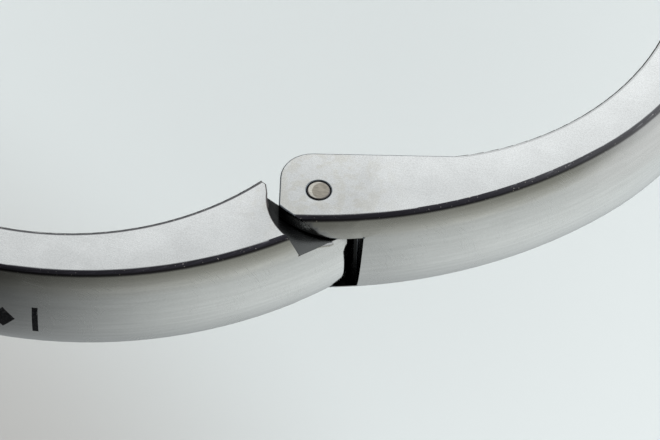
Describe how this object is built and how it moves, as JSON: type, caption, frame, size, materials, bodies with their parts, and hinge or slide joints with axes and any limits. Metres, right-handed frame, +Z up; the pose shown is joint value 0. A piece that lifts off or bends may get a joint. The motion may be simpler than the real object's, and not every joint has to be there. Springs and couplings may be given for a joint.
{
  "type": "pair of hinged ratchet handcuffs",
  "caption": "Pair of steel handcuffs with rounded bars, forked hinges, ratchet bows, double-lock cases and a short link chain between swivels, lying flat with the bows open.",
  "frame": {"origin": "centre of the underside of the pair, under the middle link of the chain", "axes": "+Y along the chain from cuff A to cuff B, +Z up out of the lock covers, +X completes the right-hand set"},
  "size_m": [0.14, 0.276, 0.014],
  "materials": {
    "case_steel": "polished by hand over fine swirl scratches",
    "cover_steel": "brushed, worn",
    "pin_steel": "filed flush, slightly darker and warmer",
    "lock_steel": "hardened, oiled",
    "spring_steel": "blued",
    "chain_steel": "bright plated, worn"
  },
  "bodies": {
    "cuff_a": {"cuff_a_frame": "case_steel", "cuff_a_hinge_pin": "pin_steel", "cuff_a_lock_cover": "cover_steel", "cuff_a_cover_rivets": "pin_steel", "cuff_a_pawl_pin": "pin_steel", "cuff_a_detent_spring": "spring_steel", "cuff_a_key_post": "pin_steel"},
    "bow_a": {"cuff_a_bow": "case_steel"},
    "pawl_a": {"cuff_a_pawl": "lock_steel", "cuff_a_pawl_spring": "spring_steel"},
    "double_lock_a": {"cuff_a_double_lock": "lock_steel"},
    "swivel_a": {"cuff_a_swivel": "chain_steel", "cuff_a_swivel_collar": "lock_steel"},
    "cuff_b": {"cuff_b_frame": "case_steel", "cuff_b_hinge_pin": "pin_steel", "cuff_b_lock_cover": "cover_steel", "cuff_b_cover_rivets": "pin_steel", "cuff_b_pawl_pin": "pin_steel", "cuff_b_detent_spring": "spring_steel", "cuff_b_key_post": "pin_steel"},
    "bow_b": {"cuff_b_bow": "case_steel"},
    "pawl_b": {"cuff_b_pawl": "lock_steel", "cuff_b_pawl_spring": "spring_steel"},
    "double_lock_b": {"cuff_b_double_lock": "lock_steel"},
    "swivel_b": {"cuff_b_swivel": "chain_steel", "cuff_b_swivel_collar": "lock_steel"},
    "link_1": {"link_1": "chain_steel"},
    "link_2": {"link_2": "chain_steel"},
    "link_3": {"link_3": "chain_steel"}
  },
  "joints": [
    {"name": "bow_a_swing", "type": "hinge", "parent": "cuff_a", "child": "bow_a", "pos_m": [0, -0.11727, 0.007], "axis": [0, 0, 1], "range_deg": [-61.5, 12]},
    {"name": "pawl_a_lift", "type": "hinge", "parent": "cuff_a", "child": "pawl_a", "pos_m": [-0.0132, -0.03947, 0.007], "axis": [0, 0, 1], "range_deg": [-5, 0], "stiffness_Nm_per_rad": 0.02, "springref_deg": -5},
    {"name": "double_lock_a_slide", "type": "slide", "parent": "cuff_a", "child": "double_lock_a", "axis": [-1, 0, 0], "range_m": [0, 0.003]},
    {"name": "bow_b_swing", "type": "hinge", "parent": "cuff_b", "child": "bow_b", "pos_m": [0, 0.11727, 0.007], "axis": [0, 0, 1], "range_deg": [-61.5, 12]},
    {"name": "pawl_b_lift", "type": "hinge", "parent": "cuff_b", "child": "pawl_b", "pos_m": [0.0132, 0.03947, 0.007], "axis": [0, 0, 1], "range_deg": [-5, 0], "stiffness_Nm_per_rad": 0.02, "springref_deg": -5},
    {"name": "double_lock_b_slide", "type": "slide", "parent": "cuff_b", "child": "double_lock_b", "axis": [1, 0, 0], "range_m": [0, 0.003]},
    {"name": "swivel_a_spin", "type": "hinge", "parent": "cuff_a", "child": "swivel_a", "pos_m": [0, -0.02727, 0.007], "axis": [0, 1, 0], "continuous": true},
    {"name": "link_1_swing", "type": "hinge", "parent": "swivel_a", "child": "link_1", "pos_m": [0, -0.01172, 0.007], "axis": [0, 0, 1], "range_deg": [-20, 20]},
    {"name": "link_2_fold", "type": "hinge", "parent": "link_1", "child": "link_2", "pos_m": [0, -0.0024, 0.007], "axis": [1, 0, 0], "range_deg": [-35, 35]},
    {"name": "link_3_swing", "type": "hinge", "parent": "link_2", "child": "link_3", "pos_m": [0, 0.00692, 0.007], "axis": [0, 0, 1], "range_deg": [-20, 20]},
    {"name": "swivel_b_fold", "type": "hinge", "parent": "link_3", "child": "swivel_b", "pos_m": [0, 0.01687, 0.007], "axis": [1, 0, 0], "range_deg": [-35, 35]},
    {"name": "swivel_b_spin", "type": "hinge", "parent": "swivel_b", "child": "cuff_b", "pos_m": [0, 0.02727, 0.007], "axis": [0, 1, 0], "continuous": true}
  ]
}
